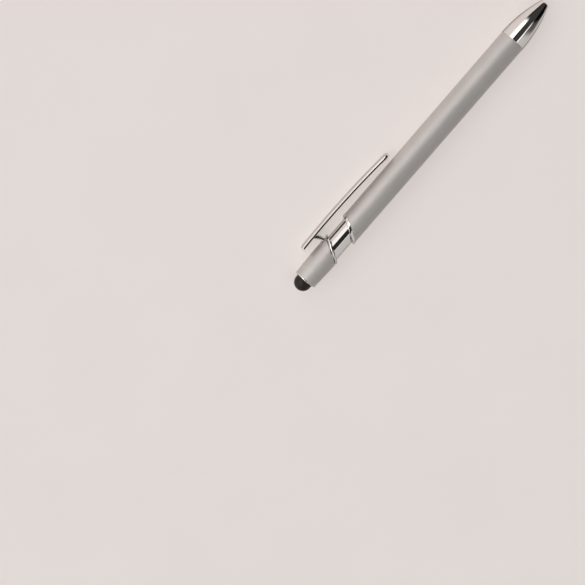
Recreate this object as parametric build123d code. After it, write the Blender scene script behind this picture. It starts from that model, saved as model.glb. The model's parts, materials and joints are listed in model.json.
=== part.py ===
from build123d import *
import os
from math import asin, atan2, cos, degrees, hypot, pi, radians, sin, sqrt, tan

# A twist-action ballpoint pen with a rubber stylus dome at its clip end.
# It is built with its axis along X, the writing tip at x = 0, the dome at +X and the clip at +Z.
# At the end it is rolled to lie on a surface, on its barrel and on the clip's lower edge.

# Lengths along the pen, in millimetres, in order from the writing tip
nose_length = 18.0
barrel_length = 91.25
neck_length = 11.5
cap_length = 14.1
collar_length = 0.75
dome_reach = 4.4

# The slanted cut that the barrel, both flanges and the cap share
slant_angle = 30.0

# Outside radii, and steps from one to the next
barrel_radius = 5.0
cap_step = 0.1
cap_taper = 0.45
waist_depth = 1.05
nose_tip_radius = 1.7

# Walls
barrel_wall = 0.7
barrel_seat_wall = 0.5
cap_neck_wall = 0.6
cap_end_wall = 0.45
neck_wall = 0.6
rotor_wall = 0.7
guide_wall = 0.6
dome_wall = 1.0

# Fits
running_clearance = 0.05
end_play = 0.1
free_clearance = 0.3
overrun = 20.0

# Twist drive
twist_angle = 180.0
stroke = 6.0
pin_radius = 0.6
pin_end_gap = 0.15
thrust_depth = 1.9
journal_length = 3.0
retainer_thickness = 0.6
retainer_groove = 0.3
retainer_rim = 0.7
retainer_gap_angle = 70.0
rotor_tail = 0.8
cam_offset = 3.0
rotor_end_wall = 2.5
guide_base_length = 3.0
guide_base_gap = 1.5
follower_head = 1.8
follower_nub_length = 3.0

# Neck flanges
flange_width = 1.3
flange_edge = 0.2
trim_ring_crown = 0.03
waist_fillet = 0.35
spigot_gap = 0.25

# Clip
clip_width = 4.0
clip_thickness = 1.3
clip_crown = 0.25
clip_corner = 0.75
clip_inner_corner = 0.1
clip_bow_radius = 400.0
clip_gap = 3.42
clip_peak = 22.85
clip_head = 7.75
clip_tail = 55.5
clip_head_corner = 0.6
clip_side_trim = 0.02
clip_pad_length = 4.3
clip_pad_height = 0.3
clip_pad_inset = 0.35
clip_foot_width = 2.8
clip_foot_thickness = 1.3
clip_foot_inset = 0.2
clip_foot_gap = 0.4
clip_toe_length = 2.4
clip_toe_depth = 1.4
clip_toe_thickness = 0.6

# Stylus end
collar_land = 0.3
collar_depth = 3.0
dome_rim_thickness = 0.7
dome_rim_reach = 0.5
dome_rim_clearance = 0.1
stem_seat_thickness = 0.8
stem_shank_radius = 1.5
stem_shank_gap = 1.25
stem_head_reach = 0.6
stem_head_round = 0.8

# Nose
nose_edge = 0.3
nose_tip_wall_length = 5.0
nose_chamber_clearance = 0.4
nose_thread_length = 7.0
insert_wall = 0.8
insert_recess = 0.6
insert_length = 8.4
insert_chamfer = 0.4

# Refill
tip_depth = 3.2
refill_length = 82.0
refill_radius = 1.6
refill_wall = 0.4
ink_air_length = 15.0
ink_channel_radius = 0.25
tip_radius = 1.15
tip_clearance = 0.1
tip_cone_length = 4.0
tip_length = 13.2
tip_collar_length = 0.8
tip_collar_radius = 1.8
tip_stub_length = 4.0
ball_radius = 0.35
ball_show = 0.25
ball_clearance = 0.02
ball_lip = 0.12

# Return spring
spring_wire_radius = 0.2
spring_bore_gap = 0.15
spring_turns = 9
spring_end_gap = 0.02

# Stations along the axis
slope = tan(radians(slant_angle))
barrel_end = nose_length + barrel_length
cap_start = barrel_end + neck_length
cap_end = cap_start + cap_length
collar_end = cap_end + collar_length
pen_length = collar_end + dome_reach

# Radii that follow from the walls and fits, from the outside in
barrel_bore = barrel_radius - barrel_wall
barrel_seat = barrel_radius - barrel_seat_wall
cap_neck_radius = barrel_radius - cap_step
cap_neck_bore = cap_neck_radius - cap_neck_wall
cap_end_radius = cap_neck_radius - cap_taper
cap_end_bore = cap_end_radius - cap_end_wall
dome_rim_radius = cap_end_bore - dome_rim_clearance
dome_radius = dome_rim_radius - dome_rim_reach
waist_radius = barrel_radius - waist_depth
rotor_radius = waist_radius - neck_wall
rotor_bore = rotor_radius - rotor_wall
guide_radius = rotor_bore - running_clearance
guide_bore = guide_radius - guide_wall
follower_radius = guide_bore - running_clearance
nose_thread_radius = barrel_bore - insert_wall
nose_chamber_radius = tip_collar_radius + nose_chamber_clearance
refill_bore = refill_radius - refill_wall

# Stations of the twist drive
thrust_face = barrel_end - slope * barrel_radius - thrust_depth
journal_end = thrust_face - journal_length
retainer_start = journal_end - end_play - retainer_thickness
rotor_start = retainer_start - rotor_tail
guide_base_end = rotor_start - guide_base_gap
guide_base_start = guide_base_end - guide_base_length
pin_out = thrust_face + cam_offset
pin_rest = pin_out + stroke
rotor_end = pin_rest + rotor_end_wall
slot_radius = pin_radius + running_clearance
refill_rear = tip_depth + refill_length

# Stations of the stylus end
collar_seat = cap_end - collar_depth
dome_rim_start = collar_seat - dome_rim_thickness
stem_seat_start = dome_rim_start - stem_seat_thickness
insert_start = cap_start + slope * cap_neck_radius + stem_shank_gap

# Places of the clip
clip_rise = barrel_radius + clip_gap + clip_thickness
clip_peak_x = cap_end - clip_peak
clip_bow_centre = clip_rise - clip_bow_radius
clip_head_x = cap_end - clip_head
clip_tail_x = cap_end - clip_tail
clip_crown_radius = ((clip_width / 2) ** 2 + clip_crown**2) / (2 * clip_crown)


def clip_inner_face(x):
    """Height of the strip's inner face at a station along the bow."""
    inner = clip_bow_radius - clip_thickness
    return clip_bow_centre + sqrt(inner**2 - (x - clip_peak_x) ** 2)


# Places of the clip's foot, whose inner bend is a quarter circle that ends in the middle of the strip
clip_foot_z = cap_neck_radius - clip_foot_inset
clip_foot_face = cap_start - slope * clip_foot_z + clip_foot_gap
clip_foot_radius = clip_inner_face(clip_foot_face) + clip_thickness / 2 - clip_foot_z
clip_foot_outer = clip_foot_radius + clip_foot_thickness
clip_foot_x = clip_foot_face + clip_foot_outer
clip_foot_back = clip_foot_x - clip_foot_radius
clip_toe_bottom = clip_foot_z - clip_toe_depth
clip_toe_top = clip_toe_bottom + clip_toe_thickness
clip_toe_end = clip_foot_back + clip_toe_length


def rod(start, end, radius):
    """Round bar along the axis between two stations."""
    return extrude(Plane.YZ.offset(start) * Circle(radius), end - start)


def tube(start, end, outer, inner):
    """Round tube along the axis between two stations."""
    return rod(start, end, outer) - rod(start - overrun, end + overrun, inner)


def turned(*points):
    """Solid of revolution about the axis from an outline of (station, radius) points."""
    return revolve(make_face(Polyline(*points, close=True)), Axis.X)


def slab(start, end, start_slope=slope, end_slope=slope):
    """Everything between two planes square to the XZ plane, each leaning by its own slope."""
    high = overrun
    corners = [
        (start + start_slope * high, -high),
        (end + end_slope * high, -high),
        (end - end_slope * high, high),
        (start - start_slope * high, high),
    ]
    return extrude(Plane.XZ * make_face(Polyline(*corners, close=True)), high, both=True)


def side_window(start, end, width, end_slope=0):
    """Slot through the clip side's wall, from the slanted plane at start to the station end."""
    return slab(start, end, slope, end_slope) & Pos(0, 0, overrun) * Box(
        2 * pen_length, width, 2 * overrun, align=(Align.MIN, Align.CENTER, Align.CENTER)
    )


def barrel():
    """Long satin tube, square at the nose and slanted at the neck, with a seat for the trim ring."""
    wall = tube(nose_length, barrel_end + overrun, barrel_radius, barrel_bore)
    wall -= rod(journal_end, barrel_end + overrun, barrel_seat)
    return wall & slab(nose_length, barrel_end, 0)


def barrel_trim_ring():
    """Polished, slightly crowned slanted flange on the barrel's end, with the neck's bearing."""
    middle = barrel_end + flange_width / 2
    reach = slope * barrel_radius + flange_width
    edge = barrel_radius - trim_ring_crown
    start = middle - reach
    end = middle + reach
    outline = Polyline((end, edge), (end, 0), (start, 0), (start, edge))
    outline += ThreePointArc((start, edge), (middle, barrel_radius), (end, edge))
    rim = revolve(make_face(outline), Axis.X) & slab(barrel_end, barrel_end + flange_width)
    crowned = rim.faces().filter_by(GeomType.PLANE, reverse=True)
    rim = fillet(crowned.edges().filter_by(GeomType.LINE, reverse=True), flange_edge)
    spigot = rod(journal_end, barrel_end + overrun, barrel_seat)
    spigot &= slab(journal_end, barrel_end + flange_width / 2, 0)
    ring = rim + spigot
    ring -= rod(thrust_face, barrel_end + overrun, waist_radius + running_clearance)
    return ring - rod(journal_end - overrun, thrust_face, rotor_radius + running_clearance)


def neck_spool():
    """Polished waist that turns in the barrel, the slanted flange under the cap and its spigot."""
    flange = rod(barrel_end, cap_end, barrel_radius)
    flange &= slab(cap_start - flange_width, cap_start)
    flange = fillet(flange.edges().filter_by(GeomType.ELLIPSE), flange_edge)
    waist = rod(thrust_face + end_play, cap_end, waist_radius)
    waist &= slab(thrust_face, cap_start - flange_width / 2, 0)
    spool = flange + waist
    foot_of_flange = spool.edges().filter_by(GeomType.ELLIPSE).filter_by_position(
        Axis.X, thrust_face + end_play, cap_start
    )
    inner_edge = [e for e in foot_of_flange if e.length < pi * (waist_radius + barrel_radius)]
    spool = fillet(inner_edge, waist_fillet)
    spigot = rod(barrel_end, insert_start - spigot_gap, cap_neck_bore)
    spool += spigot & slab(cap_start - flange_width / 2, insert_start, slope, 0)
    spool -= rod(thrust_face, cap_end, rotor_radius)
    window_width = clip_foot_width + 2 * free_clearance
    return spool - side_window(cap_start, clip_toe_end + free_clearance, window_width)


def cap_shell():
    """Short satin cap, slightly bowed to its stylus end, notched at the clip's foot."""
    outline = Line((barrel_end, 0), (barrel_end, cap_neck_radius))
    outline += Line((barrel_end, cap_neck_radius), (cap_start, cap_neck_radius))
    outline += TangentArc((cap_start, cap_neck_radius), (cap_end, cap_end_radius), tangent=(1, 0))
    outline += Line((cap_end, cap_end_radius), (cap_end, 0))
    outline += Line((cap_end, 0), (barrel_end, 0))
    shell = revolve(make_face(outline), Axis.X) & slab(cap_start, cap_end, slope, 0)
    shell -= rod(barrel_end, insert_start, cap_neck_bore)
    shell -= rod(insert_start, cap_end + overrun, cap_end_bore)
    notch_width = clip_foot_width + 2 * free_clearance
    return shell - side_window(barrel_end, clip_foot_back + free_clearance, notch_width)


def drive_rotor():
    """Sleeve fixed in the neck, with two helical slots that drive the follower's pin."""
    sleeve = tube(rotor_start, rotor_end, rotor_radius, rotor_bore)
    sleeve -= tube(retainer_start, retainer_start + retainer_thickness, barrel_radius,
                   rotor_radius - retainer_groove)
    steepness = atan2(stroke, radians(twist_angle) * rotor_radius)
    slot_width = 2 * slot_radius / sin(steepness)
    slot_start = pin_out - slot_radius
    slot_length = stroke + 2 * slot_radius
    start_turn = -twist_angle * (stroke + slot_radius) / stroke
    section = Plane.YZ.offset(slot_start) * Rectangle(slot_width, 2 * barrel_radius)
    slots = Solid.extrude_linear_with_rotation(
        section.rotate(Axis.X, start_turn).face(),
        (slot_start, 0, 0),
        (slot_length, 0, 0),
        twist_angle * slot_length / stroke,
    )
    return sleeve - slots


def pin_bar(station, radius, reach):
    """Round bar across the axis at a station, along Z."""
    return Pos(station, 0, 0) * Cylinder(radius, 2 * reach)


def rotor_retainer():
    """Open snap ring in the rotor's groove, under the trim ring's bearing."""
    ring = tube(retainer_start, retainer_start + retainer_thickness,
                rotor_radius + retainer_rim, rotor_radius - retainer_groove)
    reach = 2 * barrel_radius
    half_gap = reach * tan(radians(retainer_gap_angle / 2))
    gap = make_face(Polyline((0, 0), (half_gap, -reach), (-half_gap, -reach), close=True))
    return ring - extrude(Plane.YZ.offset(retainer_start) * gap, retainer_thickness)


def guide_sleeve():
    """Sleeve fixed in the barrel, with two straight slots that keep the follower's pin from turning."""
    sleeve = rod(guide_base_start, guide_base_end, barrel_bore)
    sleeve += rod(guide_base_end, rotor_end, guide_radius)
    sleeve -= rod(guide_base_start - overrun, rotor_end + overrun, guide_bore)
    slot = Pos((pin_out + pin_rest) / 2, 0, 0) * Box(stroke, 2 * slot_radius, 2 * barrel_radius)
    slot += pin_bar(pin_out, slot_radius, barrel_radius) + pin_bar(pin_rest, slot_radius, barrel_radius)
    return sleeve - slot


def follower():
    """Plunger that slides in the guide and pushes the refill, with a nub that enters its tube."""
    body = rod(refill_rear, pin_rest + follower_head, follower_radius)
    body += rod(refill_rear - follower_nub_length, refill_rear, refill_bore)
    return body - pin_bar(pin_rest, pin_radius, barrel_radius)


def follower_pin():
    """Cross pin through the follower, out to both pairs of slots."""
    return pin_bar(pin_rest, pin_radius, rotor_radius - pin_end_gap)


def refill_tip():
    """Metal point: ball seat, cone, shank, spring collar and the stub in the tube."""
    point = tip_depth + ball_show
    mouth = ball_radius + ball_lip
    cone_end = tip_depth + tip_cone_length
    shoulder = tip_depth + tip_length
    collar_back = shoulder + tip_collar_length
    stub_end = collar_back + tip_stub_length
    tip = turned(
        (point, 0), (point, mouth), (cone_end, tip_radius), (shoulder, tip_radius),
        (shoulder, tip_collar_radius), (collar_back, tip_collar_radius),
        (collar_back, refill_bore), (stub_end, refill_bore),
        (stub_end, 0),
    )
    seat = Pos(tip_depth + ball_radius, 0, 0) * Sphere(ball_radius + ball_clearance)
    return tip - seat - rod(tip_depth + ball_radius, stub_end + overrun, ink_channel_radius)


def writing_ball():
    """Ball in the refill's point."""
    return Pos(tip_depth + ball_radius, 0, 0) * Sphere(ball_radius)


def refill_tube():
    """Straight tube that holds the ink."""
    start = tip_depth + tip_length + tip_collar_length
    return tube(start, refill_rear, refill_radius, refill_bore)


def refill_ink():
    """Column of ink behind the point, with air between it and the follower's nub."""
    start = tip_depth + tip_length + tip_collar_length + tip_stub_length
    return rod(start, refill_rear - follower_nub_length - ink_air_length, refill_bore)


def nose_cone():
    """Polished nose: a convex taper outside, a spring chamber inside, a screwed spigot behind."""
    outline = Line((0, 0), (0, nose_tip_radius - nose_edge))
    outline += Line((0, nose_tip_radius - nose_edge), (nose_edge, nose_tip_radius))
    outline += TangentArc((nose_length, barrel_radius), (nose_edge, nose_tip_radius), tangent=(-1, 0))
    outline += Line((nose_length, barrel_radius), (nose_length, 0))
    outline += Line((nose_length, 0), (0, 0))
    cone = revolve(make_face(outline), Axis.X)
    cone += rod(nose_length, nose_length + nose_thread_length, nose_thread_radius)
    cone -= rod(-overrun, nose_tip_wall_length, tip_radius + tip_clearance)
    return cone - rod(nose_tip_wall_length, nose_length + overrun, nose_chamber_radius)


def nose_insert():
    """Brass bush fixed in the barrel's mouth, which the nose screws into."""
    start = nose_length + insert_recess
    end = start + insert_length
    outer = barrel_bore
    bush = turned(
        (start, 0), (start, outer - insert_chamfer), (start + insert_chamfer, outer),
        (end - insert_chamfer, outer), (end, outer - insert_chamfer), (end, 0),
    )
    return bush - rod(start - overrun, end + overrun, nose_thread_radius)


def biarc(start, start_way, end, end_way):
    """Two arcs that meet smoothly and leave and arrive along the given directions."""
    gap = end - start
    ways = start_way + end_way
    bend = 2 * (1 - start_way.dot(end_way))
    along = gap.dot(ways)
    reach = (sqrt(along**2 + bend * gap.dot(gap)) - along) / bend
    near = start + start_way * reach
    far = end - end_way * reach
    middle = (near + far) / 2
    return [TangentArc(start, middle, tangent=start_way), TangentArc(middle, end, tangent=far - near)]


def return_spring():
    """Open coil round the refill's point, between the nose's shoulder and the point's collar."""
    winding = tip_radius + spring_bore_gap + spring_wire_radius
    seat_gap = spring_wire_radius + spring_end_gap
    start = nose_tip_wall_length + seat_gap
    pitch = (tip_depth + tip_length - seat_gap - start) / spring_turns
    rise = pitch / (2 * pi)
    length = hypot(winding, rise)

    def point(turn):
        return Vector(start + pitch * turn, winding * cos(2 * pi * turn), winding * sin(2 * pi * turn))

    def way(turn):
        across = winding / length
        return Vector(rise / length, -across * sin(2 * pi * turn), across * cos(2 * pi * turn))

    quarter_share = 0.25
    arcs = []
    for step in range(round(spring_turns / quarter_share)):
        here = step * quarter_share
        there = here + quarter_share
        arcs += biarc(point(here), way(here), point(there), way(there))
    print(f"spring: least gap between turns {pitch - 2 * spring_wire_radius:.2f} mm")
    wire_end = Plane(origin=point(0), z_dir=way(0)) * Circle(spring_wire_radius)
    return sweep(wire_end, Wire(arcs))


def stylus_collar():
    """Bright bevelled ring pressed into the cap's end, round the dome."""
    collar = turned(
        (collar_seat, 0), (collar_seat, cap_end_bore),
        (cap_end, cap_end_bore), (cap_end, cap_end_radius),
        (collar_end, dome_radius + collar_land), (collar_end, 0),
    )
    return collar - rod(collar_seat - overrun, collar_end + overrun, dome_radius)


def stylus_dome():
    """Hollow rubber dome with a skirt through the collar and a rim held behind it."""
    centre = pen_length - dome_radius
    skin = rod(collar_seat, centre, dome_radius) + Pos(centre, 0, 0) * Sphere(dome_radius)
    skin &= rod(collar_seat, pen_length + overrun, dome_radius)
    skin += rod(dome_rim_start, collar_seat, dome_rim_radius)
    hollow = rod(dome_rim_start, centre, dome_radius - dome_wall)
    hollow += Pos(centre, 0, 0) * Sphere(dome_radius - dome_wall)
    return skin - hollow


def stylus_stem():
    """Stem that carries the dome: a head in its skirt, a seat behind its rim, a screwed shank."""
    head_end = collar_end + stem_head_reach
    head = rod(dome_rim_start, head_end, dome_radius - dome_wall)
    head = fillet(head.edges().group_by(Axis.X)[-1], stem_head_round)
    return head + rod(stem_seat_start, dome_rim_start, dome_rim_radius) + rod(
        insert_start, stem_seat_start, stem_shank_radius
    )


def cap_insert():
    """Bush fixed in the cap, which the stem's shank screws into."""
    return tube(insert_start, stem_seat_start, cap_end_bore, stem_shank_radius)


def clip_section():
    """Cross section of the strip at the top of its bow: flat inside, slightly crowned outside."""
    half = clip_width / 2
    bottom = clip_rise - clip_thickness
    side = clip_rise - clip_crown
    outline = Polyline((-half, side), (-half, bottom), (half, bottom), (half, side))
    outline += ThreePointArc((half, side), (0, clip_rise), (-half, side))
    face = make_face(outline)
    corners = face.vertices().sort_by(Axis.Y)
    face = fillet(corners[2:], clip_corner)
    face = fillet(face.vertices().group_by(Axis.Y)[0], clip_inner_corner)
    return Plane.YZ.offset(clip_peak_x) * face


def foot_bend(radius, turn):
    """Point of the foot's bend, turned up from the cap's edge by an angle."""
    return (clip_foot_x - radius * cos(turn), clip_foot_z + radius * sin(turn))


def clip_foot():
    """Tongue that bends in from the strip, enters the cap's notch and hooks under the cap's wall."""
    outer_turn = asin(clip_foot_radius / clip_foot_outer)
    outer_top = foot_bend(clip_foot_outer, outer_turn)
    inner_top = foot_bend(clip_foot_radius, pi / 2)
    outer_middle = foot_bend(clip_foot_outer, outer_turn / 2)
    outline = ThreePointArc(outer_top, outer_middle, (clip_foot_face, clip_foot_z))
    outline += Polyline(
        (clip_foot_face, clip_foot_z),
        (clip_foot_face + slope * clip_toe_depth, clip_toe_bottom),
        (clip_toe_end, clip_toe_bottom), (clip_toe_end, clip_toe_top),
        (clip_foot_back, clip_toe_top), (clip_foot_back, clip_foot_z),
    )
    outline += ThreePointArc((clip_foot_back, clip_foot_z), foot_bend(clip_foot_radius, pi / 4), inner_top)
    outline += Line(inner_top, outer_top)
    return extrude(Plane.XZ * make_face(outline), clip_foot_width / 2, both=True)


def clip():
    """Bowed spring strip with a rounded tip, a pressed pad under the tip and a bent foot."""
    bow = Axis((clip_peak_x, 0, clip_bow_centre), (0, 1, 0))
    head_angle = degrees(asin((clip_head_x + clip_width - clip_peak_x) / clip_bow_radius))
    tail_angle = degrees(asin((clip_peak_x - clip_tail_x + clip_width) / clip_bow_radius))
    strip = revolve(clip_section().rotate(bow, -tail_angle), bow, head_angle + tail_angle)
    half = clip_width / 2 + clip_side_trim
    tip_centre = clip_tail_x + half
    plan = Pos((tip_centre + clip_head_x) / 2, 0) * Rectangle(clip_head_x - tip_centre, 2 * half)
    plan = fillet(plan.vertices().group_by(Axis.X)[-1], clip_head_corner)
    plan += Pos(tip_centre, 0) * Circle(half)
    plan = extrude(plan, clip_rise + overrun)
    pad_end = clip_tail_x + clip_pad_length
    pad_top = clip_inner_face(pad_end)
    pad_tip = clip_inner_face(clip_tail_x) + clip_thickness / 2
    pad_low = pad_top - clip_pad_height
    pad_middle = ((clip_tail_x + pad_end) / 2, pad_low)
    pad = ThreePointArc((pad_end, pad_top), pad_middle, (clip_tail_x, pad_tip))
    pad += Polyline((clip_tail_x, pad_tip), (pad_end, pad_top + clip_thickness / 2), (pad_end, pad_top))
    pad = extrude(Plane.XZ * make_face(pad), clip_width / 2 - clip_pad_inset, both=True)
    return ((strip + pad) & plan) + clip_foot()


def rest_placement():
    """Rolls the pen until the clip's outer corner and the barrel stand on one level, and centres it."""
    corner_y = clip_width / 2 - clip_corner
    crown_inner = clip_crown_radius - clip_corner
    corner_z = clip_rise - clip_crown_radius + sqrt(crown_inner**2 - corner_y**2)
    lean = asin((barrel_radius - clip_corner) / hypot(corner_y, corner_z)) - atan2(corner_y, corner_z)
    reach = corner_z * cos(lean) + corner_y * sin(lean) + clip_corner
    quarter_turn = 90.0
    across = (reach - barrel_radius) / 2
    return Pos(-pen_length / 2, across, barrel_radius) * Rot(quarter_turn + degrees(lean), 0, 0)


pieces = {
    "barrel": barrel,
    "barrel_trim_ring": barrel_trim_ring,
    "guide_sleeve": guide_sleeve,
    "nose_insert": nose_insert,
    "nose_cone": nose_cone,
    "return_spring": return_spring,
    "neck_spool": neck_spool,
    "cap_shell": cap_shell,
    "drive_rotor": drive_rotor,
    "rotor_retainer": rotor_retainer,
    "cap_insert": cap_insert,
    "stylus_collar": stylus_collar,
    "stylus_stem": stylus_stem,
    "stylus_dome": stylus_dome,
    "clip": clip,
    "follower": follower,
    "follower_pin": follower_pin,
    "refill_tube": refill_tube,
    "refill_ink": refill_ink,
    "refill_tip": refill_tip,
    "writing_ball": writing_ball,
}

os.makedirs("parts", exist_ok=True)
placement = rest_placement()
for node, make in pieces.items():
    export_step(placement * make(), f"parts/{node}.step")
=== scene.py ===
import json
from math import acos, asin, atan2, cos, pi, radians, sin, sqrt, tan

import bmesh
import bpy
from mathutils import Matrix, Vector


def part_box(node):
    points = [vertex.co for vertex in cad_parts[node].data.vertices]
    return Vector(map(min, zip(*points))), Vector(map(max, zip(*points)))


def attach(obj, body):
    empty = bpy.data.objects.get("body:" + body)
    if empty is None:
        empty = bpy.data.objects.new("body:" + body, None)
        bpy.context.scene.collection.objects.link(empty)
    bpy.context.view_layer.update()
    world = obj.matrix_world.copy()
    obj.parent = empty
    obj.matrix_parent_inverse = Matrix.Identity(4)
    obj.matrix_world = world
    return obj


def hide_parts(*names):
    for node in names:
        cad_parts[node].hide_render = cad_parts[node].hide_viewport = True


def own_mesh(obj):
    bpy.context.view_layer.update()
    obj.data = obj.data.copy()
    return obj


# A twist-action ballpoint pen with a rubber stylus dome at its clip end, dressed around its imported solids.
# Sizes are millimetres in the pen's own frame: axis along X, writing tip at x = 0, dome at +X, clip at +Z.
# Only the floor's and the softbox's sizes are metres.

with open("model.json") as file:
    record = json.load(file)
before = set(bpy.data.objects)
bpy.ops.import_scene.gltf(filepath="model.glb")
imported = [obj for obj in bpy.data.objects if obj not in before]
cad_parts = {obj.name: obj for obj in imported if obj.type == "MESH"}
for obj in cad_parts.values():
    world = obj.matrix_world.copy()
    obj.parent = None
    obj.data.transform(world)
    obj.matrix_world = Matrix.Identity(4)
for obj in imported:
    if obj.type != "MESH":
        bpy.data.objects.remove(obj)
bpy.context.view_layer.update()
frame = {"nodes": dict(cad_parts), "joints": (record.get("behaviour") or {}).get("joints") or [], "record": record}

MM = 0.001
along = Vector((1, 0, 0))
joints = {joint["name"]: joint for joint in frame["joints"]}
side = Vector(joints["clip_flex"]["axis"])
out = along.cross(side)

barrel_low, barrel_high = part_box("barrel")
tip = (barrel_low + barrel_high) / 2
tip.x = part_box("nose_cone")[0].x
pen_axes = Matrix((along, side, out)).transposed().to_4x4()
pen_frame = Matrix.Translation(tip) @ pen_axes @ Matrix.Scale(MM, 4)


def low(node):
    """Station of a solid's end nearest the writing tip."""
    return (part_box(node)[0].x - tip.x) / MM


def high(node):
    """Station of a solid's end nearest the stylus dome."""
    return (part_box(node)[1].x - tip.x) / MM


def half_height(node):
    """Radius of a round solid, from its box."""
    lowest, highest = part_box(node)
    return (highest.z - lowest.z) / 2 / MM


# Tubes and the slanted neck
barrel_wall = 0.7
cap_wall = 0.45
slant_angle = 30.0
slope = tan(radians(slant_angle))
flange_width = 1.3
trim_edge = 0.14
trim_crown = 0.03
bead_edge = 0.5
bead_gap_edge = 0.4
bead_crown = 0.05
waist_fillet = 0.2
waist_depth = 1.05
neck_wall = 0.6
running_gap = 0.05
tube_edge = 0.12
shadow_gap = 0.3
cap_step = 0.1

# Stations and radii, read or worked out from the solids
nose_end = low("barrel")
barrel_radius = half_height("barrel")
barrel_end = high("barrel") - slope * barrel_radius
waist_radius = barrel_radius - waist_depth
cap_neck_radius = barrel_radius - cap_step
cap_start = low("cap_shell") + slope * cap_neck_radius
cap_end = high("cap_shell")
cap_end_radius = half_height("stylus_collar")
collar_end = high("stylus_collar")
pen_end = high("stylus_dome")

# Stylus end
dome_radius = 3.4
dome_skirt = 2.5
collar_bore_gap = 0.01
collar_land = 0.3
collar_edge = 0.07
collar_band = 0.4
collar_bend = 0.25

# Nose and refill point
nose_tip_radius = 1.7
nose_edge = 0.3
nose_bore = 1.25
nose_bore_length = 5.0
nose_chamber = 2.2
nose_thread = 3.5
ball_radius = 0.35
ball_show = 0.25
ball_lip = 0.12
tip_radius = 1.15
tip_cone_length = 4.0
tip_length = 13.2
tip_collar_radius = 1.8
tip_collar_length = 0.8
tip_stub_radius = 1.2

# Return spring
spring_radius = 1.5
spring_wire = 0.2
spring_turns = 9
spring_seat_gap = 0.22

# Clip
clip_width = 4.0
clip_thickness = 1.3
clip_crown = 0.25
clip_corner = 0.75
clip_tip_corner = 0.15
clip_inner_corner = 0.1
clip_bow_radius = 400.0
clip_gap = 3.42
clip_peak_reach = 22.85
clip_peak = cap_end - clip_peak_reach
clip_head = high("clip")
clip_tail = low("clip")
clip_head_corner = 0.6
clip_pad_length = 4.3
clip_pad_height = 0.3
clip_pad_share = 0.9
# Length over which the painted shade on the clip's inner face grows up to the barrel's end; it stays full from
# there to the foot
painted_shade_fade = 3.0
foot_width = 2.8
foot_thickness = 1.3
foot_inset = 0.2
foot_gap = 0.4
foot_depth = 1.2
foot_edge = 0.5
foot_clearance = 0.3

# Fineness of the meshes
TURN_STEPS = 192
ROUND_STEPS = 6

# Shares of a plain finish's roughness between which it wanders
least_rough_share = 0.8
most_rough_share = 1.2


def rounded(corners):
    """Outline points from (station, radius, lean, rounding) corners, each rounding drawn as an arc."""
    outline = []
    for k, (x, r, lean, rounding) in enumerate(corners):
        here = Vector((x, r))
        if not rounding:
            outline.append((x, r, lean))
            continue
        back = (Vector(corners[k - 1][:2]) - here).normalized()
        ahead = (Vector(corners[(k + 1) % len(corners)][:2]) - here).normalized()
        half = acos(max(-1.0, min(1.0, back.dot(ahead)))) / 2
        centre = here + (back + ahead).normalized() * (rounding / sin(half))
        start = here + back * (rounding / tan(half)) - centre
        end = here + ahead * (rounding / tan(half)) - centre
        sweep = start.angle_signed(end)
        for step in range(ROUND_STEPS + 1):
            turn = -sweep * step / ROUND_STEPS
            point = centre + Matrix.Rotation(turn, 2) @ start
            outline.append((point.x, point.y, lean))
    return outline


def skin(columns):
    """Mesh through (turn, outline) columns, closed round the axis and, off the axis, round the outline."""
    bm = bmesh.new()
    grid = []
    for turn, outline in columns:
        column = []
        for x, r, lean in outline:
            z = r * cos(turn)
            column.append(bm.verts.new((x - lean * slope * z, r * sin(turn), z)))
        grid.append(column)
    on_axis = columns[0][1][0][1] == 0
    for here, there in zip(grid, grid[1:] + grid[:1]):
        last = len(here) - 1 if on_axis else len(here)
        for k in range(last):
            after = (k + 1) % len(here)
            bm.faces.new((here[k], there[k], there[after], here[after]))
    return bm


def turned(outline):
    """Mesh of one outline turned about the pen's axis."""
    return skin([(2 * pi * k / TURN_STEPS, outline) for k in range(TURN_STEPS)])


def piece(name, bm, material, body, slot, *nodes):
    """Finishes a mesh, places it in the row frame and lets it stand for its solids."""
    weld = 1e-5
    sharp_angle = radians(38)
    bmesh.ops.remove_doubles(bm, verts=bm.verts, dist=weld)
    bmesh.ops.dissolve_degenerate(bm, edges=bm.edges, dist=weld)
    bmesh.ops.recalc_face_normals(bm, faces=bm.faces)
    bm.transform(pen_frame)
    mesh = bpy.data.meshes.new(name)
    bm.to_mesh(mesh)
    bm.free()
    mesh.shade_smooth()
    mesh.set_sharp_from_angle(angle=sharp_angle)
    mesh.materials.append(material)
    made = bpy.data.objects.new(name, mesh)
    bpy.context.scene.collection.objects.link(made)
    normals = made.modifiers.new("even_normals", "WEIGHTED_NORMAL")
    normals.keep_sharp = True
    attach(made, body)
    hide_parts(*nodes)
    return made


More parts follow.
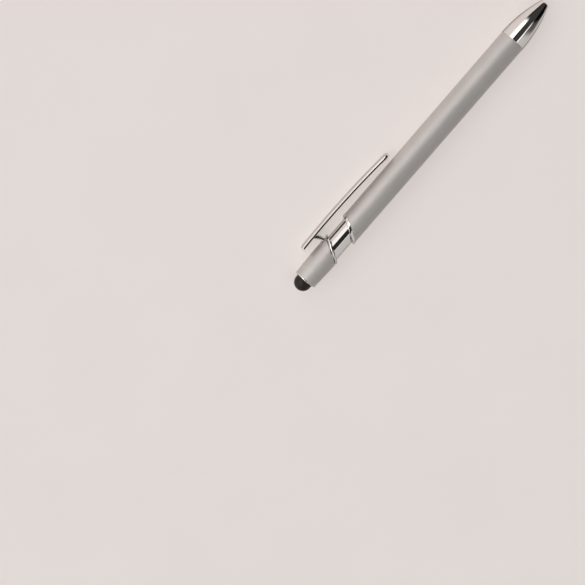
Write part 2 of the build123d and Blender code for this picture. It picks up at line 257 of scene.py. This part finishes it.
class Finish:
    """A surface finish whose variation comes from procedural textures in the object's own space."""

    def __init__(self, name, colour, metallic, roughness, **values):
        self.material = bpy.data.materials.new(name)
        self.material.use_nodes = True
        self.tree = self.material.node_tree
        self.shader = self.tree.nodes["Principled BSDF"]
        self.set("Base Color", (*colour, 1))
        self.set("Metallic", metallic)
        self.set("Roughness", roughness)
        for socket, value in values.items():
            self.set(socket.replace("_", " ").title().replace("Ior", "IOR"), value)
        self.place = self.add("ShaderNodeTexCoord").outputs["Object"]

    def add(self, kind, **values):
        """New node with the given properties."""
        node = self.tree.nodes.new(kind)
        for key, value in values.items():
            setattr(node, key, value)
        return node

    def set(self, socket, value):
        """Uniform value on the shader's own socket."""
        self.shader.inputs[socket].default_value = value

    def link(self, output, socket):
        """Texture on the shader's socket."""
        self.tree.links.new(output, self.shader.inputs[socket])

    def noise(self, size, detail=3.0, stretch=(1, 1, 1)):
        """Noise whose grains are about size millimetres across, divided by stretch along each axis."""
        mapping = self.add("ShaderNodeMapping")
        mapping.inputs["Scale"].default_value = stretch
        texture = self.add("ShaderNodeTexNoise")
        texture.inputs["Scale"].default_value = 1 / (size * MM)
        texture.inputs["Detail"].default_value = detail
        self.tree.links.new(self.place, mapping.inputs["Vector"])
        self.tree.links.new(mapping.outputs["Vector"], texture.inputs["Vector"])
        return texture.outputs["Fac"]

    def total(self, *outputs):
        """Sum of several values, at most one."""
        result = outputs[0]
        for output in outputs[1:]:
            node = self.add("ShaderNodeMath", operation="ADD", use_clamp=True)
            self.tree.links.new(result, node.inputs[0])
            self.tree.links.new(output, node.inputs[1])
            result = node.outputs["Value"]
        return result

    def spread(self, texture, low_value, high_value, usual=(0.3, 0.7)):
        """Texture value spread over a range, from its usual span, the middle part of a noise."""
        node = self.add("ShaderNodeMapRange")
        node.inputs["From Min"].default_value = usual[0]
        node.inputs["From Max"].default_value = usual[1]
        node.inputs["To Min"].default_value = low_value
        node.inputs["To Max"].default_value = high_value
        self.tree.links.new(texture, node.inputs["Value"])
        return node.outputs["Result"]

    def mix(self, share, first, last):
        """Colour between a first and a last one, each a colour or an output."""
        node = self.add("ShaderNodeMix", data_type="RGBA")
        self.tree.links.new(share, node.inputs["Factor"])
        sockets = [socket for socket in node.inputs if socket.type == "RGBA"]
        for socket, colour in zip(sockets, (first, last)):
            if isinstance(colour, bpy.types.NodeSocket):
                self.tree.links.new(colour, socket)
            else:
                socket.default_value = (*colour, 1)
        return [socket for socket in node.outputs if socket.type == "RGBA"][0]

    def shade(self, texture, dark, light):
        """Base colour that wanders between two near shades."""
        colour = self.mix(self.spread(texture, 0, 1), dark, light)
        self.link(colour, "Base Color")
        return colour

    def roughen(self, texture, least, most):
        """Roughness that wanders between two values."""
        self.link(self.spread(texture, least, most), "Roughness")

    def bump(self, texture, height, strength):
        """Relief of a height in millimetres."""
        node = self.add("ShaderNodeBump")
        node.inputs["Strength"].default_value = strength
        node.inputs["Distance"].default_value = height * MM
        self.tree.links.new(texture, node.inputs["Height"])
        self.link(node.outputs["Normal"], "Normal")


def satin_metal():
    """Fine-blasted, anodised warm grey aluminium."""
    shade = (0.68, 0.653, 0.636)
    edge_tint = (0.75, 0.74, 0.73, 1)
    finish = Finish("satin_grey", shade, metallic=1.0, roughness=0.62, specular_tint=edge_tint)
    finish.shade(finish.noise(size=6.0), dark=(0.665, 0.639, 0.622), light=(0.695, 0.667, 0.65))
    finish.roughen(finish.noise(size=0.35), least=0.59, most=0.65)
    finish.bump(finish.noise(size=0.12, detail=2.0), height=0.004, strength=0.5)
    return finish.material


def chrome(name, edge_tint):
    """Finish of polished plate with faint smears and hair-fine turning marks, and its colour as an output.

    The edge tint colours what the plate reflects where it is seen nearly edge on.
    """
    shade = (0.88, 0.85, 0.825)
    smear_share = 0.97
    smeared = [smear_share * value for value in shade]
    finish = Finish(name, shade, metallic=1.0, roughness=0.06, specular_tint=(*edge_tint, 1))
    colour = finish.shade(finish.noise(size=3.0), dark=smeared, light=shade)
    finish.roughen(finish.noise(size=1.6), least=0.045, most=0.085)
    finish.bump(finish.noise(size=0.25, detail=1.0, stretch=(1, 0.1, 0.1)), height=0.0006, strength=0.4)
    return finish, colour


def neck_chrome():
    """Polished plate on neck, trim ring, collar and nose, dark where it is seen edge on."""
    return chrome("polished_chrome", edge_tint=(0.12, 0.118, 0.115))[0].material


def clip_chrome():
    """Polished plate on the clip, with painted shade: its base colour is darkened on the inner face near the foot.
    """
    inward_facing = (0.8, 0.9)
    # Painted shade: the dark base colour put on the clip's inner face near the foot
    painted_inner_shade = (0.20, 0.192, 0.185)
    finish, polished = chrome("clip_chrome", edge_tint=(0.5, 0.49, 0.48))
    coordinates = finish.add("ShaderNodeTexCoord")
    facing = finish.add("ShaderNodeVectorMath", operation="DOT_PRODUCT")
    facing.inputs[1].default_value = -out
    finish.tree.links.new(coordinates.outputs["Normal"], facing.inputs[0])
    inner = finish.spread(facing.outputs["Value"], 0, 1, inward_facing)
    station = finish.add("ShaderNodeVectorMath", operation="DOT_PRODUCT")
    station.inputs[1].default_value = along
    finish.tree.links.new(finish.place, station.inputs[0])
    reach = [tip.x + x * MM for x in (barrel_end - painted_shade_fade, barrel_end)]
    near_foot = finish.spread(station.outputs["Value"], 0, 1, reach)
    share = finish.add("ShaderNodeMath", operation="MULTIPLY")
    finish.tree.links.new(inner, share.inputs[0])
    finish.tree.links.new(near_foot, share.inputs[1])
    # Base colour mixed to the painted shade where the face turns inwards near the foot
    finish.link(finish.mix(share.outputs["Value"], polished, painted_inner_shade), "Base Color")
    return finish.material


def rubber():
    """Soft black conductive silicone with a fine matt skin."""
    shade = (0.0125, 0.0075, 0.0052)
    finish = Finish("stylus_rubber", shade, metallic=0.0, roughness=0.5, specular_ior_level=0.4)
    finish.shade(finish.noise(size=1.2), dark=(0.011, 0.0062, 0.0042), light=(0.014, 0.0088, 0.0062))
    finish.roughen(finish.noise(size=0.5), least=0.42, most=0.55)
    finish.bump(finish.noise(size=0.09, detail=2.0), height=0.004, strength=0.5)
    return finish.material


def turned_metal(name, shade, roughness):
    """Plain machined metal with fine rings round the axis."""
    dark_share = 0.9
    finish = Finish(name, shade, metallic=1.0, roughness=roughness)
    finish.shade(finish.noise(size=1.5), dark=[dark_share * value for value in shade], light=shade)
    finish.roughen(finish.noise(size=0.4), least_rough_share * roughness, most_rough_share * roughness)
    finish.bump(finish.noise(size=0.12, detail=1.0, stretch=(1, 0.05, 0.05)), height=0.002, strength=0.5)
    return finish.material


def moulded_plastic(name, shade, roughness):
    """Moulded plastic with a slight orange-peel skin."""
    dark_share = 0.94
    finish = Finish(name, shade, metallic=0.0, roughness=roughness)
    finish.shade(finish.noise(size=2.0), dark=[dark_share * value for value in shade], light=shade)
    finish.roughen(finish.noise(size=0.6), least_rough_share * roughness, most_rough_share * roughness)
    finish.bump(finish.noise(size=0.4, detail=2.0), height=0.003, strength=0.4)
    return finish.material


finishes = {
    "satin_grey": satin_metal(),
    "polished_chrome": neck_chrome(),
    "clip_chrome": clip_chrome(),
    "stylus_rubber": rubber(),
    "turned_brass": turned_metal("turned_brass", (0.72, 0.53, 0.26), 0.28),
    "plain_steel": turned_metal("plain_steel", (0.62, 0.62, 0.62), 0.3),
    "white_plastic": moulded_plastic("white_plastic", (0.80, 0.80, 0.78), 0.45),
    "refill_plastic": moulded_plastic("refill_plastic", (0.85, 0.87, 0.88), 0.3),
    "ink": moulded_plastic("ink", (0.012, 0.012, 0.03), 0.2),
    "tip_metal": turned_metal("tip_metal", (0.72, 0.68, 0.60), 0.22),
    "ball_metal": turned_metal("ball_metal", (0.55, 0.55, 0.57), 0.15),
}
for subpart in frame["record"]["subparts"]:
    mesh = frame["nodes"][subpart["node"]].data
    mesh.materials.clear()
    mesh.materials.append(finishes[subpart["material_slot"]])


def barrel():
    """Long satin tube, square at the nose and slanted at the neck."""
    bore = barrel_radius - barrel_wall
    outline = rounded([
        (nose_end, barrel_radius, 0, tube_edge), (barrel_end, barrel_radius, 1, tube_edge),
        (barrel_end, bore, 1, 0), (nose_end, bore, 0, 0),
    ])
    piece("barrel_tube", turned(outline), finishes["satin_grey"], "barrel_body", "satin_grey", "barrel")


def trim_ring():
    """Polished slanted flange on the barrel's end, round the neck's waist."""
    bore = waist_radius + running_gap
    seat = barrel_radius - barrel_wall
    edge = barrel_radius - trim_crown
    start = low("barrel_trim_ring")
    far = barrel_end + flange_width
    middle = barrel_end + flange_width / 2
    outline = rounded([
        (barrel_end, edge, 1, trim_edge), (middle, barrel_radius, 1, 0), (far, edge, 1, trim_edge),
        (far, bore, 1, tube_edge), (start, bore, 0, 0), (start, seat, 0, 0), (barrel_end, seat, 1, 0),
    ])
    piece("trim_ring", turned(outline), finishes["polished_chrome"], "barrel_body", "polished_chrome",
          "barrel_trim_ring")


def neck():
    """Polished waist with a slanted flange under the cap."""
    bore = waist_radius - neck_wall
    near = cap_start - flange_width
    middle = cap_start - flange_width / 2
    edge = barrel_radius - bead_crown
    far = cap_start - shadow_gap / 2
    outline = rounded([
        (low("neck_spool"), bore, 0, 0), (low("neck_spool"), waist_radius, 0, 0),
        (near, waist_radius, 1, waist_fillet), (near, edge, 1, bead_edge), (middle, barrel_radius, 1, 0),
        (far, edge, 1, bead_gap_edge), (far, cap_neck_radius - cap_wall, 1, 0),
        (cap_start + shadow_gap, cap_neck_radius - cap_wall, 1, 0), (cap_start + shadow_gap, bore, 1, 0),
    ])
    piece("neck", turned(outline), finishes["polished_chrome"], "cap_body", "polished_chrome", "neck_spool")


def cap():
    """Short satin cap, slightly bowed to its stylus end, with a notch for the clip's foot."""
    bow_steps = 16
    notch_steps = 12
    bow_start = cap_start + slope * cap_neck_radius + tube_edge
    taper = cap_neck_radius - cap_end_radius
    notch_back = foot_places()[1] + foot_thickness + foot_clearance
    notch_turn = atan2(foot_width / 2 + foot_clearance, cap_neck_radius)

    def outline(start, lean):
        """Section of the cap's wall from a start that is slanted where lean is 1."""
        bow = []
        for step in range(bow_steps + 1):
            x = bow_start + (cap_end - bow_start) * step / bow_steps
            share = (x - cap_start) / (cap_end - cap_start)
            bow.append((x, cap_neck_radius - taper * share**2, 0, 0))
        return rounded([
            (start, cap_neck_radius - cap_wall, lean, 0), (start, cap_neck_radius, lean, tube_edge),
            *bow, (cap_end, cap_end_radius - cap_wall, 0, 0),
        ])

    whole = outline(cap_start + shadow_gap / 2, 1)
    notched = outline(notch_back, 0)
    columns = []
    for k in range(TURN_STEPS + 1):
        columns.append((notch_turn + (2 * pi - 2 * notch_turn) * k / TURN_STEPS, whole))
    for k in range(notch_steps + 1):
        columns.append((2 * pi - notch_turn + 2 * notch_turn * k / notch_steps, notched))
    piece("cap", skin(columns), finishes["satin_grey"], "cap_body", "satin_grey", "cap_shell")


def stylus():
    """Bright bevelled collar and the rubber dome that stands out of it."""
    bore = dome_radius + collar_bore_gap
    land = dome_radius + collar_land
    seat = cap_end_radius - cap_wall
    start = cap_end - dome_skirt
    outline = rounded([
        (start, bore, 0, 0), (start, seat, 0, 0), (cap_end, seat, 0, 0),
        (cap_end, cap_end_radius, 0, collar_edge), (cap_end + collar_band, cap_end_radius, 0, collar_bend),
        (collar_end, land, 0, collar_edge), (collar_end, bore, 0, collar_edge),
    ])
    piece("collar", turned(outline), finishes["polished_chrome"], "cap_body", "polished_chrome",
          "stylus_collar")
    arc_steps = 40
    centre = pen_end - dome_radius
    outline = [(start, 0, 0), (start, dome_radius, 0)]
    for step in range(arc_steps + 1):
        turn = pi / 2 * step / arc_steps
        outline.append((centre + dome_radius * sin(turn), dome_radius * cos(turn), 0))
    outline[-1] = (pen_end, 0, 0)
    piece("dome", turned(outline), finishes["stylus_rubber"], "cap_body", "stylus_rubber", "stylus_dome")


def nose():
    """Polished nose with a convex taper and the hole that the point comes out of."""
    taper_steps = 40
    drop = barrel_radius - nose_tip_radius
    length = nose_end - nose_edge
    bend = (length**2 + drop**2) / (2 * drop)
    taper = []
    for step in range(taper_steps + 1):
        x = nose_edge + length * step / taper_steps
        taper.append((x, barrel_radius - bend + sqrt(bend**2 - (nose_end - x) ** 2), 0, 0))
    taper[-1] = (nose_end, barrel_radius, 0, tube_edge)
    back = high("nose_cone")
    outline = rounded([
        (0, nose_bore, 0, nose_edge / 4), (0, nose_tip_radius - nose_edge, 0, nose_edge / 3), *taper,
        (nose_end, nose_thread, 0, 0), (back, nose_thread, 0, 0), (back, nose_chamber, 0, 0),
        (nose_bore_length, nose_chamber, 0, 0), (nose_bore_length, nose_bore, 0, 0),
    ])
    piece("nose", turned(outline), finishes["polished_chrome"], "barrel_body", "polished_chrome",
          "nose_cone")


def refill_point():
    """Metal point of the refill and the ball in its mouth."""
    mouth = low("refill_tip")
    ball_tip = mouth - ball_show
    cone_end = ball_tip + tip_cone_length
    shoulder = ball_tip + tip_length
    collar_back = shoulder + tip_collar_length
    back = high("refill_tip")
    edge = ball_lip / 4
    outline = rounded([
        (mouth, 0, 0, 0), (mouth, ball_radius + ball_lip, 0, edge), (cone_end, tip_radius, 0, 0),
        (shoulder, tip_radius, 0, 0), (shoulder, tip_collar_radius, 0, edge),
        (collar_back, tip_collar_radius, 0, edge), (collar_back, tip_stub_radius, 0, 0),
        (back, tip_stub_radius, 0, 0), (back, 0, 0, 0),
    ])
    piece("point", turned(outline), finishes["tip_metal"], "refill_body", "tip_metal", "refill_tip")
    arc_steps = 24
    centre = ball_tip + ball_radius
    outline = [(ball_tip, 0, 0)]
    for step in range(1, arc_steps):
        turn = pi * step / arc_steps
        outline.append((centre - ball_radius * cos(turn), ball_radius * sin(turn), 0))
    outline.append((centre + ball_radius, 0, 0))
    piece("ball", turned(outline), finishes["ball_metal"], "refill_body", "ball_metal", "writing_ball")


def spring():
    """Open coil that the refill's collar presses together as the point comes out."""
    steps_per_turn = 32
    wire_sides = 10
    start = nose_bore_length + spring_seat_gap
    end = low("refill_tip") - ball_show + tip_length - spring_seat_gap
    pitch = (end - start) / spring_turns
    lean = atan2(pitch, 2 * pi * spring_radius)
    bm = bmesh.new()
    rings = []
    for step in range(spring_turns * steps_per_turn + 1):
        turn = 2 * pi * step / steps_per_turn
        outward = Vector((0, cos(turn), sin(turn)))
        centre = Vector((start + pitch * step / steps_per_turn, 0, 0)) + spring_radius * outward
        way = Vector((sin(lean), -cos(lean) * sin(turn), cos(lean) * cos(turn)))
        across = way.cross(outward)
        ring = []
        for k in range(wire_sides):
            angle = 2 * pi * k / wire_sides
            ring.append(bm.verts.new(centre + (outward * cos(angle) + across * sin(angle)) * spring_wire))
        rings.append(ring)
    for here, there in zip(rings, rings[1:]):
        for k in range(wire_sides):
            after = (k + 1) % wire_sides
            bm.faces.new((here[k], here[after], there[after], there[k]))
    bm.faces.new(rings[0])
    bm.faces.new(rings[-1])
    coil = piece("spring", bm, finishes["plain_steel"], "barrel_body", "plain_steel", "return_spring")
    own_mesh(coil)


def clip_face(x):
    """Height of the strip's outer face along its bow."""
    rise = barrel_radius + clip_gap + clip_thickness
    return rise - clip_bow_radius + sqrt(clip_bow_radius**2 - (x - clip_peak) ** 2)


def foot_places():
    """Height where the foot enters the cap, its outer face's station there and its inner bend's radius."""
    base = cap_neck_radius - foot_inset
    face = cap_start - slope * base + foot_gap
    return base, face, clip_face(face) - clip_thickness / 2 - base


def clip_profile(corner):
    """Half of the strip's section, inner to outer middle, as (share of half width, height) points."""
    half = clip_width / 2
    steps = 8
    crown = (half**2 + clip_crown**2) / (2 * clip_crown)
    points = []
    for step in range(steps + 1):
        points.append(((half - clip_inner_corner) * step / steps, -clip_thickness))
    for step in range(1, ROUND_STEPS + 1):
        turn = pi / 2 * step / ROUND_STEPS
        y = half - clip_inner_corner * (1 - sin(turn))
        points.append((y, -clip_thickness + clip_inner_corner * (1 - cos(turn))))
    corner_y = half - corner
    corner_z = sqrt((crown - corner) ** 2 - corner_y**2) - crown
    last = atan2(corner_z + crown, corner_y)
    for step in range(ROUND_STEPS + 1):
        turn = last * step / ROUND_STEPS
        points.append((corner_y + corner * cos(turn), corner_z + corner * sin(turn)))
    edge = points[-1][0]
    for step in range(1, steps + 1):
        y = edge * (1 - step / steps)
        points.append((y, sqrt(crown**2 - y**2) - crown))
    return [(y / half, z) for y, z in points]


def clip_plan():
    """Places on the strip's middle line and on its edge, and the edge's rounding, round the whole plan."""
    half = clip_width / 2
    tip_x = clip_tail + half
    head_x = clip_head - half
    corner = clip_head_corner
    side_steps = 72
    tip_steps = 32
    tip_share = 0.6
    edge = []
    for step in range(side_steps):
        edge.append((head_x + (tip_x - head_x) * step / side_steps, half))
    plan = [((x, 0), (x, y), clip_corner) for x, y in edge]
    for step in range(tip_steps + 1):
        turn = pi / 2 + pi * step / tip_steps
        sharpness = min(1.0, -cos(turn) / tip_share)
        rounding = clip_corner + (clip_tip_corner - clip_corner) * sharpness
        plan.append(((tip_x, 0), (tip_x + half * cos(turn), half * sin(turn)), rounding))
    plan += [((x, 0), (x, -y), clip_corner) for x, y in reversed(edge)]
    head = []
    for step in range(ROUND_STEPS + 1):
        turn = pi / 2 * step / ROUND_STEPS
        head.append((clip_head - corner * (1 - sin(turn)), -half + corner * (1 - cos(turn))))
    head += [(clip_head, y) for y in (-half / 3, 0, half / 3)]
    head += [(x, -y) for x, y in reversed(head[:ROUND_STEPS + 1])]
    return plan + [((head_x, 0), point, clip_corner) for point in head]


def pad_depth(x, share):
    """How far the pad under the tip stands below the strip's inner face."""
    flatness = 6
    along_pad = (x - clip_tail) / clip_pad_length
    if not 0 < along_pad < 1 or share > clip_pad_share:
        return 0
    across_pad = share / clip_pad_share
    return clip_pad_height * (1 - (2 * along_pad - 1) ** flatness) * (1 - across_pad**flatness)


def clip():
    """Bowed spring strip with a rounded tip, a pressed pad under the tip and a bent foot."""
    bm = bmesh.new()
    grid = []
    for middle, edge, rounding in clip_plan():
        column = []
        for share, height in clip_profile(rounding):
            x = middle[0] + (edge[0] - middle[0]) * share
            y = middle[1] + (edge[1] - middle[1]) * share
            sunk = pad_depth(x, share) if height == -clip_thickness else 0
            column.append(bm.verts.new((x, y, clip_face(x) + height - sunk)))
        grid.append(column)
    for here, there in zip(grid, grid[1:] + grid[:1]):
        for k in range(len(here) - 1):
            bm.faces.new((here[k], there[k], there[k + 1], here[k + 1]))
    clip_foot(bm)
    piece("clip_spring", bm, finishes["clip_chrome"], "clip_body", "clip_chrome", "clip")


def clip_foot(bm):
    """Tongue that bends in from the strip and enters the cap's notch."""
    bend_steps = 24
    base, face, inner = foot_places()
    outer = inner + foot_thickness
    centre = face + outer
    back = centre - inner
    stations = [((face + slope * foot_depth, base - foot_depth), (back, base - foot_depth))]
    for step in range(bend_steps + 1):
        points = []
        for radius in (outer, inner):
            turn = asin(inner / radius) * step / bend_steps
            points.append((centre - radius * cos(turn), base + radius * sin(turn)))
        stations.append(points)
    section = []
    corner_y = foot_width / 2 - foot_edge
    edge_share = foot_edge / foot_thickness
    outer_share = 1 - edge_share
    corners = (
        (corner_y, outer_share), (-corner_y, outer_share), (-corner_y, edge_share), (corner_y, edge_share),
    )
    for quarter, (centre_y, centre_share) in enumerate(corners):
        for step in range(ROUND_STEPS + 1):
            turn = pi / 2 * (quarter + step / ROUND_STEPS)
            section.append((centre_y + foot_edge * cos(turn), centre_share + edge_share * sin(turn)))
    rings = []
    for far, near in stations:
        far, near = Vector(far), Vector(near)
        ring = []
        for y, share in section:
            point = near + (far - near) * share
            ring.append(bm.verts.new((point.x, y, point.y)))
        rings.append(ring)
    for here, there in zip(rings, rings[1:]):
        for k in range(len(section)):
            after = (k + 1) % len(section)
            bm.faces.new((here[k], here[after], there[after], there[k]))
    bm.faces.new(rings[0])
    bm.faces.new(rings[-1])


def floor():
    """Plain pale paper that the pen lies on, swept up far away all round, so that no horizon shows."""
    flat_reach = 2.5
    reach = 6.0
    rise = 0.7
    rings = 12
    sides = 64
    glow = 0.455
    bm = bmesh.new()
    bmesh.ops.create_circle(bm, cap_ends=True, segments=sides, radius=flat_reach)
    edges = bm.edges[:]
    for ring in range(1, rings + 1):
        share = ring / rings
        grown = bmesh.ops.extrude_edge_only(bm, edges=edges)["geom"]
        radius = flat_reach + (reach - flat_reach) * share
        for vert in [item for item in grown if isinstance(item, bmesh.types.BMVert)]:
            vert.co.xy = vert.co.xy.normalized() * radius
            vert.co.z = rise * share**2
        edges = [item for item in grown if isinstance(item, bmesh.types.BMEdge)]
    bmesh.ops.recalc_face_normals(bm, faces=bm.faces)
    mesh = bpy.data.meshes.new("floor")
    bm.to_mesh(mesh)
    bm.free()
    mesh.shade_smooth()
    finish = Finish("floor_paper", (0.56, 0.526, 0.511), metallic=0.0, roughness=0.9)
    finish.shade(finish.noise(size=40.0), dark=(0.55, 0.516, 0.502), light=(0.57, 0.536, 0.52))
    finish.set("Emission Color", (1.0, 0.922, 0.887, 1))
    rays = finish.add("ShaderNodeLightPath").outputs
    seen = finish.total(rays["Is Camera Ray"], rays["Is Glossy Ray"], rays["Is Transmission Ray"])
    finish.link(finish.spread(seen, 0.0, glow, (0, 1)), "Emission Strength")
    mesh.materials.append(finish.material)
    made = bpy.data.objects.new("floor", mesh)
    bpy.context.scene.collection.objects.link(made)


def camera():
    """The photograph's viewpoint: the stylus points down to the left, its end tilted away from the lens."""
    image_size = 585
    cap_end_pixel = Vector((306.0, 278.7))
    stylus_way = Vector((-0.655, -0.756)).normalized()
    pixels_per_mm = 2.65
    tilt = radians(7.0)
    roll = radians(13.5)
    lens = 100.0
    sensor = 36.0
    back = cos(tilt) * (cos(roll) * side + sin(roll) * out) - sin(tilt) * along
    stylus = (along - along.dot(back) * back).normalized()
    clip_way = stylus.cross(back)
    clip_way *= 1 if clip_way.dot(out) > 0 else -1
    right = stylus * stylus_way.x + clip_way * stylus_way.y
    up = stylus * stylus_way.y - clip_way * stylus_way.x
    pixel_focus = lens / sensor * image_size
    distance = pixel_focus / pixels_per_mm * MM
    offset = (cap_end_pixel - Vector((image_size, image_size)) / 2) * distance / pixel_focus
    target = pen_frame @ Vector((cap_end, 0, 0))
    data = bpy.data.cameras.new("camera")
    data.lens = lens
    data.sensor_width = sensor
    made = bpy.data.objects.new("camera", data)
    bpy.context.scene.collection.objects.link(made)
    turn = Matrix((right, up, back)).transposed()
    place = target - right * offset.x + up * offset.y + back * distance
    made.matrix_world = Matrix.Translation(place) @ turn.to_4x4()
    bpy.context.scene.camera = made


def softbox(name, direction, distance, width, height, level):
    """Rectangular soft light that faces the pen, its width along the pen, level being its brightness."""
    data = bpy.data.lights.new(name, "AREA")
    data.shape = "RECTANGLE"
    data.size = width
    data.size_y = height
    data.energy = level * pi * width * height
    made = bpy.data.objects.new(name, data)
    bpy.context.scene.collection.objects.link(made)
    back = direction.normalized()
    across = (along - along.dot(back) * back).normalized()
    turn = Matrix((across, back.cross(across), back)).transposed()
    made.matrix_world = Matrix.Translation(back * distance) @ turn.to_4x4()
    made.visible_camera = False


class Studio:
    """Node tree of the room's light, as a brightness by direction."""

    def __init__(self):
        world = bpy.data.worlds.new("studio")
        world.use_nodes = True
        bpy.context.scene.world = world
        self.tree = world.node_tree
        self.way = self.tree.nodes.new("ShaderNodeTexCoord").outputs["Generated"]

    def towards(self, direction):
        """How far a direction leans to the given one, from -1 to 1."""
        node = self.tree.nodes.new("ShaderNodeVectorMath")
        node.operation = "DOT_PRODUCT"
        node.inputs[1].default_value = direction
        self.tree.links.new(self.way, node.inputs[0])
        return node.outputs["Value"]

    def rise(self, value, span, first=0.0, last=1.0):
        """Smooth step of a value, from first at the span's start to last at its end."""
        node = self.tree.nodes.new("ShaderNodeMapRange")
        node.interpolation_type = "SMOOTHSTEP"
        node.inputs["From Min"].default_value = span[0]
        node.inputs["From Max"].default_value = span[1]
        node.inputs["To Min"].default_value = first
        node.inputs["To Max"].default_value = last
        self.tree.links.new(value, node.inputs["Value"])
        return node.outputs["Result"]

    def fall(self, value, span):
        """Smooth step of a value down from one to nothing."""
        return self.rise(value, span, 1.0, 0.0)

    def join(self, operation, *values):
        """Values put together by one operation, step by step."""
        result = values[0]
        for value in values[1:]:
            node = self.tree.nodes.new("ShaderNodeMath")
            node.operation = operation
            self.tree.links.new(result, node.inputs[0])
            self.tree.links.new(value, node.inputs[1])
            result = node.outputs["Value"]
        return result

    def light(self, level, colour):
        """Room light of one colour and a level by direction."""
        background = self.tree.nodes["Background"]
        background.inputs["Color"].default_value = (*colour, 1)
        self.tree.links.new(level, background.inputs["Strength"])


def studio():
    """Pale room, brightest on the clip's side, with black cards overhead and past both ends, and a softbox.

    Its borders are soft spans of a direction's lean to the clip, to the stylus or upwards, from -1 to 1.
    """
    room = Studio()
    clipward = room.towards(out)
    stylusward = room.towards(along)
    height = room.towards((0, 0, 1))
    whole = (0, 1)

    # Walls low down, and above them a dim far side and a panel on the clip's side
    wall_level = 0.55
    clip_level = 1.03
    tail_level = 2.2
    far_level = 0.57
    far_end_level = 0.10
    far_tail = (-0.35, -0.15)
    far_head = (0.4, 0.55)
    panel_border = (-0.55, -0.30)
    panel_change = (-0.1, 0.1)
    wall_change = (-0.2, 0.5)
    wall_top = (0.2, 0.5)
    middle = room.join("MULTIPLY", room.rise(stylusward, far_tail), room.fall(stylusward, far_head))
    far = room.rise(middle, whole, far_end_level, far_level)
    far_side = room.join("MULTIPLY", far, room.fall(clipward, panel_border))
    panel = room.rise(stylusward, panel_change, tail_level, clip_level)
    clip_side = room.join("MULTIPLY", panel, room.rise(clipward, panel_border))
    above = room.join("MULTIPLY", room.join("ADD", far_side, clip_side), room.rise(height, wall_top))
    wall = room.rise(clipward, wall_change, wall_level, clip_level)
    below = room.join("MULTIPLY", wall, room.fall(height, wall_top))
    shell = room.join("ADD", above, below)

    # Black card overhead, which makes the dark line along the polished pieces
    card_far = (-0.42, -0.32)
    card_foot = (0.3, 0.45)
    card_near = (0.36, 0.44)
    card_head = (0.30, 0.38)
    card = room.join(
        "MULTIPLY", room.rise(clipward, card_far), room.rise(height, card_foot),
        room.fall(clipward, card_near), room.fall(stylusward, card_head),
    )

    # Dark end past the nose, and dark cards past the stylus: one ahead and one on the far side
    nose_border = (-0.5, -0.35)
    ahead_start = (0.55, 0.75)
    ahead_top = (0.35, 0.55)
    ahead_near = (0.05, 0.2)
    ahead_far = (-0.6, -0.45)
    side_start = (0.3, 0.45)
    side_top = (0.5, 0.65)
    nose_card = room.fall(stylusward, nose_border)
    ahead_card = room.join(
        "MULTIPLY", room.rise(stylusward, ahead_start), room.fall(height, ahead_top),
        room.fall(clipward, ahead_near), room.rise(clipward, ahead_far),
    )
    side_card = room.join(
        "MULTIPLY", room.rise(stylusward, side_start), room.fall(height, side_top),
        room.fall(clipward, ahead_far),
    )
    card_level = 0.02
    dark = room.join("MAXIMUM", card, nose_card, ahead_card, side_card)
    clear = room.rise(dark, whole, 1, card_level)
    room_colour = (1.0, 0.975, 0.955)
    room.light(room.join("MULTIPLY", shell, clear), room_colour)

    key_way = Vector((0.47, -0.70, 0.62))
    key_distance = 2.4
    key_width = 0.9
    key_height = 1.3
    key_level = 2.2
    softbox("key", key_way, key_distance, key_width, key_height, key_level)


barrel()
trim_ring()
neck()
cap()
stylus()
nose()
refill_point()
spring()
clip()
floor()
camera()
studio()
bpy.context.scene.view_settings.view_transform = "Standard"
